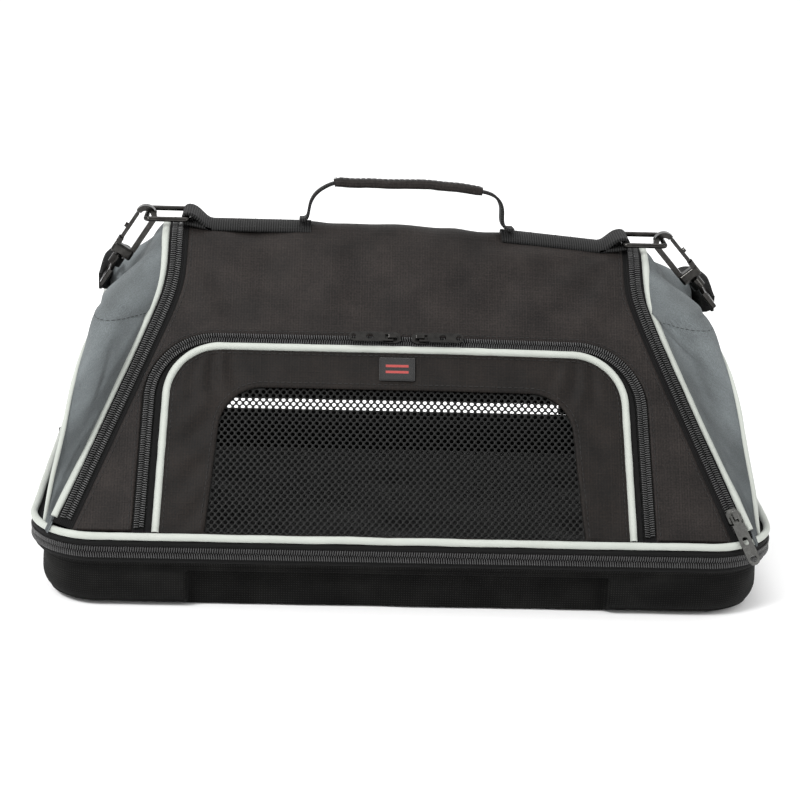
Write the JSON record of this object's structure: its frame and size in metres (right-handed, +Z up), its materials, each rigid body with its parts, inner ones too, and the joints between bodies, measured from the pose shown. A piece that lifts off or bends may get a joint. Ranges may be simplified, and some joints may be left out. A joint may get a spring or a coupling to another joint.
{
  "type": "pet carrier bag",
  "caption": "Soft pet carrier with a moulded tray, zipped fabric cover, fold-down front door with mesh window, carry handle and clip-on shoulder strap.",
  "frame": {"origin": "centre of the base on the floor", "axes": "+Z up, -Y towards the front door, +X to the right seen from the front"},
  "size_m": [0.4648, 0.3224, 0.2443],
  "materials": {
    "black_ripstop": "woven ripstop",
    "grey_fabric": "plain woven polyester",
    "pale_piping": "sewn cord piping",
    "black_webbing": "ribbed webbing",
    "black_mesh": "3-D spacer mesh",
    "zip_tape": "knitted tape",
    "zip_coil": "nylon coil",
    "tray_fabric": "moulded foam covered with fine fabric",
    "cushion_plush": "soft plush",
    "board": "stiff sheet",
    "patch": "woven label, plain",
    "gunmetal": "dark nickel",
    "strap_plastic": "moulded buckle"
  },
  "bodies": {
    "tray": {"tray_shell": "tray_fabric", "base_board": "board", "base_cushion": "cushion_plush", "tray_zip_tape": "zip_tape", "tray_zip_coil": "zip_coil", "shoulder_strap": "black_webbing", "strap_adjuster": "strap_plastic"},
    "cover": {"cover_base_band": "zip_tape", "cover_zip_coil": "zip_coil", "base_piping": "pale_piping", "front_panel": "black_ripstop", "back_panel": "black_ripstop", "back_mesh": "black_mesh", "door_zip_tape": "zip_tape", "door_zip_coil": "zip_coil", "ridge_batten": "board", "side_zip_tape_left": "zip_tape", "side_zip_coil_left": "zip_coil", "edge_piping_left": "pale_piping", "end_panel_left": "black_ripstop", "end_mesh_left": "black_mesh", "gusset_left": "grey_fabric", "arch_piping_left": "pale_piping", "ridge_strap_left": "black_webbing", "side_zip_tape_right": "zip_tape", "side_zip_coil_right": "zip_coil", "edge_piping_right": "pale_piping", "end_panel_right": "black_ripstop", "end_mesh_right": "black_mesh", "gusset_right": "grey_fabric", "arch_piping_right": "pale_piping", "ridge_strap_right": "black_webbing"},
    "door": {"door_panel": "black_ripstop", "door_mesh": "black_mesh", "door_piping": "pale_piping", "door_zip_flap": "zip_tape", "label_patch": "patch"},
    "handle": {"handle_webbing": "black_webbing", "handle_grip": "black_ripstop"},
    "ring_left": {"ring_left": "gunmetal"},
    "hook_left": {"hook_left": "gunmetal"},
    "gate_left": {"gate_left": "gunmetal"},
    "swivel_eye_left": {"swivel_eye_left": "gunmetal"},
    "door_zip_left_slider": {"door_zip_left_slider": "gunmetal"},
    "door_zip_left_pull": {"door_zip_left_pull": "gunmetal"},
    "side_zip_left_slider": {"side_zip_left_slider": "gunmetal"},
    "side_zip_left_pull": {"side_zip_left_pull": "gunmetal"},
    "tray_zip_left_slider": {"tray_zip_left_slider": "gunmetal"},
    "tray_zip_left_pull": {"tray_zip_left_pull": "gunmetal"},
    "ring_right": {"ring_right": "gunmetal"},
    "hook_right": {"hook_right": "gunmetal"},
    "gate_right": {"gate_right": "gunmetal"},
    "swivel_eye_right": {"swivel_eye_right": "gunmetal"},
    "door_zip_right_slider": {"door_zip_right_slider": "gunmetal"},
    "door_zip_right_pull": {"door_zip_right_pull": "gunmetal"},
    "side_zip_right_slider": {"side_zip_right_slider": "gunmetal"},
    "side_zip_right_pull": {"side_zip_right_pull": "gunmetal"},
    "tray_zip_right_slider": {"tray_zip_right_slider": "gunmetal"},
    "tray_zip_right_pull": {"tray_zip_right_pull": "gunmetal"}
  },
  "joints": [
    {"name": "cover_hinge", "type": "hinge", "parent": "tray", "child": "cover", "pos_m": [0, 0.137, 0.04], "axis": [-1, 0, 0], "range_deg": [0, 110], "deforming": ["shoulder_strap"]},
    {"name": "door_hinge", "type": "hinge", "parent": "cover", "child": "door", "pos_m": [0, -0.12985, 0.05362], "axis": [1, 0, 0], "range_deg": [0, 120]},
    {"name": "handle_fold", "type": "hinge", "parent": "cover", "child": "handle", "pos_m": [0, 0, 0.21107], "axis": [0.9997, 0, -0.0239], "range_deg": [-70, 70], "deforming": ["handle_webbing"]},
    {"name": "ring_left_swing", "type": "hinge", "parent": "cover", "child": "ring_left", "pos_m": [-0.138, 0, 0.2147], "axis": [0, 1, 0], "range_deg": [0, 30], "deforming": ["shoulder_strap"]},
    {"name": "hook_left_pivot", "type": "hinge", "parent": "ring_left", "child": "hook_left", "pos_m": [-0.164, 0, 0.2147], "axis": [0, 1, 0], "range_deg": [0, 40], "deforming": ["shoulder_strap"]},
    {"name": "eye_left_swivel", "type": "hinge", "parent": "hook_left", "child": "swivel_eye_left", "pos_m": [-0.164, 0, 0.2147], "axis": [-0.5446, 0, -0.8387], "range_deg": [-25, 25], "deforming": ["shoulder_strap"]},
    {"name": "gate_left_spring", "type": "hinge", "parent": "hook_left", "child": "gate_left", "pos_m": [-0.18143, 0, 0.1974], "axis": [0, 1, 0], "range_deg": [0, 15], "stiffness_Nm_per_rad": 0.05, "springref_deg": -17.19},
    {"name": "ring_right_swing", "type": "hinge", "parent": "cover", "child": "ring_right", "pos_m": [0.138, 0, 0.20498], "axis": [0, 1, 0], "range_deg": [-30, 0], "deforming": ["shoulder_strap"]},
    {"name": "hook_right_pivot", "type": "hinge", "parent": "ring_right", "child": "hook_right", "pos_m": [0.164, 0, 0.20498], "axis": [0, 1, 0], "range_deg": [-40, 0], "deforming": ["shoulder_strap"]},
    {"name": "eye_right_swivel", "type": "hinge", "parent": "hook_right", "child": "swivel_eye_right", "pos_m": [0.164, 0, 0.20498], "axis": [0.6561, 0, -0.7547], "range_deg": [-25, 25], "deforming": ["shoulder_strap"]},
    {"name": "gate_right_spring", "type": "hinge", "parent": "hook_right", "child": "gate_right", "pos_m": [0.18367, 0, 0.19028], "axis": [0, 1, 0], "range_deg": [-15, 0], "stiffness_Nm_per_rad": 0.05, "springref_deg": 17.19},
    {"name": "door_zip_left_slide", "type": "slide", "parent": "cover", "child": "door_zip_left_slider", "axis": [-1, 0, 0], "range_m": [0, 0.085]},
    {"name": "door_zip_left_pull_flip", "type": "hinge", "parent": "door_zip_left_slider", "child": "door_zip_left_pull", "pos_m": [-0.0085, -0.05982, 0.15467], "axis": [0, 0.5915, 0.8063], "range_deg": [0, 160]},
    {"name": "door_zip_right_slide", "type": "slide", "parent": "cover", "child": "door_zip_right_slider", "axis": [1, 0, 0], "range_m": [0, 0.085]},
    {"name": "door_zip_right_pull_flip", "type": "hinge", "parent": "door_zip_right_slider", "child": "door_zip_right_pull", "pos_m": [0.0085, -0.05982, 0.15467], "axis": [0, -0.5915, -0.8063], "range_deg": [0, 160]},
    {"name": "side_zip_left_slide", "type": "slide", "parent": "cover", "child": "side_zip_left_slider", "axis": [0.365, -0.5507, 0.7507], "range_m": [0, 0.085]},
    {"name": "side_zip_left_pull_flip", "type": "hinge", "parent": "side_zip_left_slider", "child": "side_zip_left_pull", "pos_m": [-0.20014, 0.12482, 0.06606], "axis": [0.931, 0.2159, -0.2943], "range_deg": [0, 160]},
    {"name": "side_zip_right_slide", "type": "slide", "parent": "cover", "child": "side_zip_right_slider", "axis": [-0.365, 0.5888, 0.7212], "range_m": [0, 0.025]},
    {"name": "side_zip_right_pull_flip", "type": "hinge", "parent": "side_zip_right_slider", "child": "side_zip_right_pull", "pos_m": [0.20014, -0.12395, 0.06566], "axis": [-0.931, -0.2308, -0.2827], "range_deg": [0, 160]},
    {"name": "tray_zip_left_slide", "type": "slide", "parent": "tray", "child": "tray_zip_left_slider", "axis": [0, -1, 0], "range_m": [0, 0.15]},
    {"name": "tray_zip_left_pull_flip", "type": "hinge", "parent": "tray_zip_left_slider", "child": "tray_zip_left_pull", "pos_m": [-0.23055, 0.08, 0.03995], "axis": [0, 0, -1], "range_deg": [0, 160]},
    {"name": "tray_zip_right_slide", "type": "slide", "parent": "tray", "child": "tray_zip_right_slider", "axis": [0, -1, 0], "range_m": [0, 0.15]},
    {"name": "tray_zip_right_pull_flip", "type": "hinge", "parent": "tray_zip_right_slider", "child": "tray_zip_right_pull", "pos_m": [0.23055, 0.08, 0.03995], "axis": [0, 0, 1], "range_deg": [0, 160]}
  ]
}
